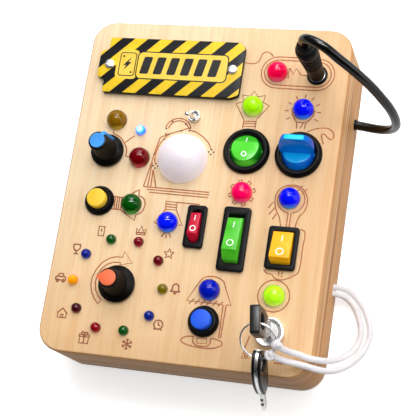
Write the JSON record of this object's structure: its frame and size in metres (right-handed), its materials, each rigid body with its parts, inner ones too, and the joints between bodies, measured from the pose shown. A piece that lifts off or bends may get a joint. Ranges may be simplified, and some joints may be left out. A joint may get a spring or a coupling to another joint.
{
  "type": "busy board",
  "caption": "Flat wooden busy board with round corners, carrying rocker, toggle, key, rotary and push switches, coloured domed lamps, a battery cover and a patch plug on a cable.",
  "frame": {"origin": "centre of the flat back face", "axes": "+Z out of the front face, +Y up the board towards the battery cover, +X to the right seen from the front; the board lies on its back"},
  "size_m": [0.1646, 0.1906, 0.0923],
  "materials": {
    "wood_front": "sanded and clear-coated birch, face side",
    "wood_back": "sanded and clear-coated birch, back side",
    "screw_steel": "plated screws",
    "plate_print": "printed sheet plastic, yellow and black stripes",
    "black_plastic": "moulded satin black",
    "cell_sleeve": "sleeved dry cell",
    "contact_metal": "stamped and plated",
    "board_green": "solder-masked glass board",
    "lens_amber": "tinted clear epoxy",
    "lens_ruby": "tinted clear epoxy",
    "lens_coral": "tinted clear epoxy, lit",
    "lens_blue": "tinted clear epoxy",
    "lens_lime": "tinted clear epoxy, lit",
    "lens_green": "tinted clear epoxy",
    "lens_small": "tinted clear epoxy in several colours",
    "dome_white": "milky moulded plastic",
    "red_plastic": "moulded red",
    "green_plastic": "moulded translucent green",
    "yellow_plastic": "moulded yellow",
    "blue_plastic": "moulded blue",
    "orange_plastic": "moulded orange",
    "spring_steel": "wound spring wire",
    "bright_metal": "nickel plated",
    "key_black": "black plastic head on a nickel-plated blade",
    "string_white": "braided polyester cord",
    "cable_black": "smooth flexible sheath"
  },
  "bodies": {
    "board": {"front_case": "wood_front", "back_case": "wood_back", "case_screws": "screw_steel", "cover_plate": "plate_print", "plate_screws": "screw_steel", "battery_box": "black_plastic", "battery_cells": "cell_sleeve", "battery_contacts": "contact_metal", "circuit_board": "board_green", "lamp_legs": "contact_metal", "lamp_amber": "lens_amber", "lamp_ruby": "lens_ruby", "lamp_coral": "lens_coral", "lamp_blue_top": "lens_blue", "lamp_lime_top": "lens_lime", "lamp_green": "lens_green", "lamp_blue_left": "lens_blue", "lamp_pink": "lens_coral", "lamp_blue_right": "lens_blue", "lamp_blue_house": "lens_blue", "lamp_lime_low": "lens_lime", "small_lamps": "lens_small", "dome_lens": "dome_white", "red_housing": "black_plastic", "green_housing": "black_plastic", "yellow_housing": "black_plastic", "round_housing": "black_plastic", "paddle_housing": "black_plastic", "yellow_button_housing": "black_plastic", "yellow_button_spring": "spring_steel", "blue_button_housing": "black_plastic", "blue_button_spring": "spring_steel", "upper_switch": "bright_metal", "lower_switch": "bright_metal", "toggle_body": "bright_metal", "panel_nuts": "screw_steel", "lock_body": "bright_metal", "key_ring": "bright_metal", "jack": "black_plastic", "cable": "cable_black", "cable_collar": "black_plastic", "string_inner": "string_white", "string_outer": "string_white", "string_knots": "string_white"},
    "red_rocker_body": {"red_rocker": "red_plastic"},
    "green_rocker_body": {"green_rocker": "green_plastic"},
    "yellow_rocker_body": {"yellow_rocker": "yellow_plastic"},
    "round_rocker_body": {"round_rocker": "green_plastic"},
    "paddle_body": {"paddle": "blue_plastic"},
    "yellow_button_body": {"yellow_button": "yellow_plastic"},
    "blue_button_body": {"blue_button": "blue_plastic"},
    "upper_knob_body": {"upper_knob": "black_plastic", "upper_knob_cap": "blue_plastic"},
    "lower_knob_body": {"lower_knob": "black_plastic", "lower_knob_cap": "orange_plastic"},
    "toggle_lever_body": {"toggle_lever": "bright_metal"},
    "key_body": {"lock_barrel": "bright_metal", "lock_key": "key_black"},
    "spare_key_body": {"spare_key": "key_black"},
    "plug_body": {"plug": "black_plastic"}
  },
  "joints": [
    {"name": "red_rocker_tilt", "type": "hinge", "parent": "board", "child": "red_rocker_body", "pos_m": [0.0031, -0.01945, 0.0402], "axis": [1, 0, 0], "range_deg": [0, 28]},
    {"name": "green_rocker_tilt", "type": "hinge", "parent": "board", "child": "green_rocker_body", "pos_m": [0.0234, -0.024, 0.0402], "axis": [1, 0, 0], "range_deg": [0, 28]},
    {"name": "yellow_rocker_tilt", "type": "hinge", "parent": "board", "child": "yellow_rocker_body", "pos_m": [0.0477, -0.0264, 0.0402], "axis": [1, 0, 0], "range_deg": [0, 28]},
    {"name": "round_rocker_tilt", "type": "hinge", "parent": "board", "child": "round_rocker_body", "pos_m": [0.0229, 0.0212, 0.0402], "axis": [1, 0, 0], "range_deg": [0, 28]},
    {"name": "paddle_tilt", "type": "hinge", "parent": "board", "child": "paddle_body", "pos_m": [0.0492, 0.0212, 0.0402], "axis": [1, 0, 0], "range_deg": [0, 26]},
    {"name": "yellow_button_press", "type": "slide", "parent": "board", "child": "yellow_button_body", "axis": [0, 0, -1], "range_m": [0, 0.002], "stiffness_N_per_m": 250, "springref_m": -0.002, "deforming": ["yellow_button_spring"]},
    {"name": "blue_button_press", "type": "slide", "parent": "board", "child": "blue_button_body", "axis": [0, 0, -1], "range_m": [0, 0.002], "stiffness_N_per_m": 250, "springref_m": -0.002, "deforming": ["blue_button_spring"]},
    {"name": "upper_knob_turn", "type": "hinge", "parent": "board", "child": "upper_knob_body", "pos_m": [-0.0494, 0.0163, 0.04], "axis": [0, 0, 1], "range_deg": [-70, 20]},
    {"name": "lower_knob_turn", "type": "hinge", "parent": "board", "child": "lower_knob_body", "pos_m": [-0.032, -0.0518, 0.04], "axis": [0, 0, 1], "range_deg": [-252, 72]},
    {"name": "toggle_flip", "type": "hinge", "parent": "board", "child": "toggle_lever_body", "pos_m": [-0.0067, 0.0378, 0.04], "axis": [-1, 0, 0], "range_deg": [0, 28]},
    {"name": "key_turn", "type": "hinge", "parent": "board", "child": "key_body", "pos_m": [0.0474, -0.0675, 0.043], "axis": [0, 0, 1], "range_deg": [-38, 0]},
    {"name": "spare_key_swing", "type": "hinge", "parent": "board", "child": "spare_key_body", "pos_m": [0.0474, -0.08222, 0.05629], "axis": [1, 0, 0], "range_deg": [-70, 0]},
    {"name": "plug_pull", "type": "slide", "parent": "board", "child": "plug_body", "axis": [0, 0, 1], "range_m": [0, 0.014], "deforming": ["cable"]}
  ]
}
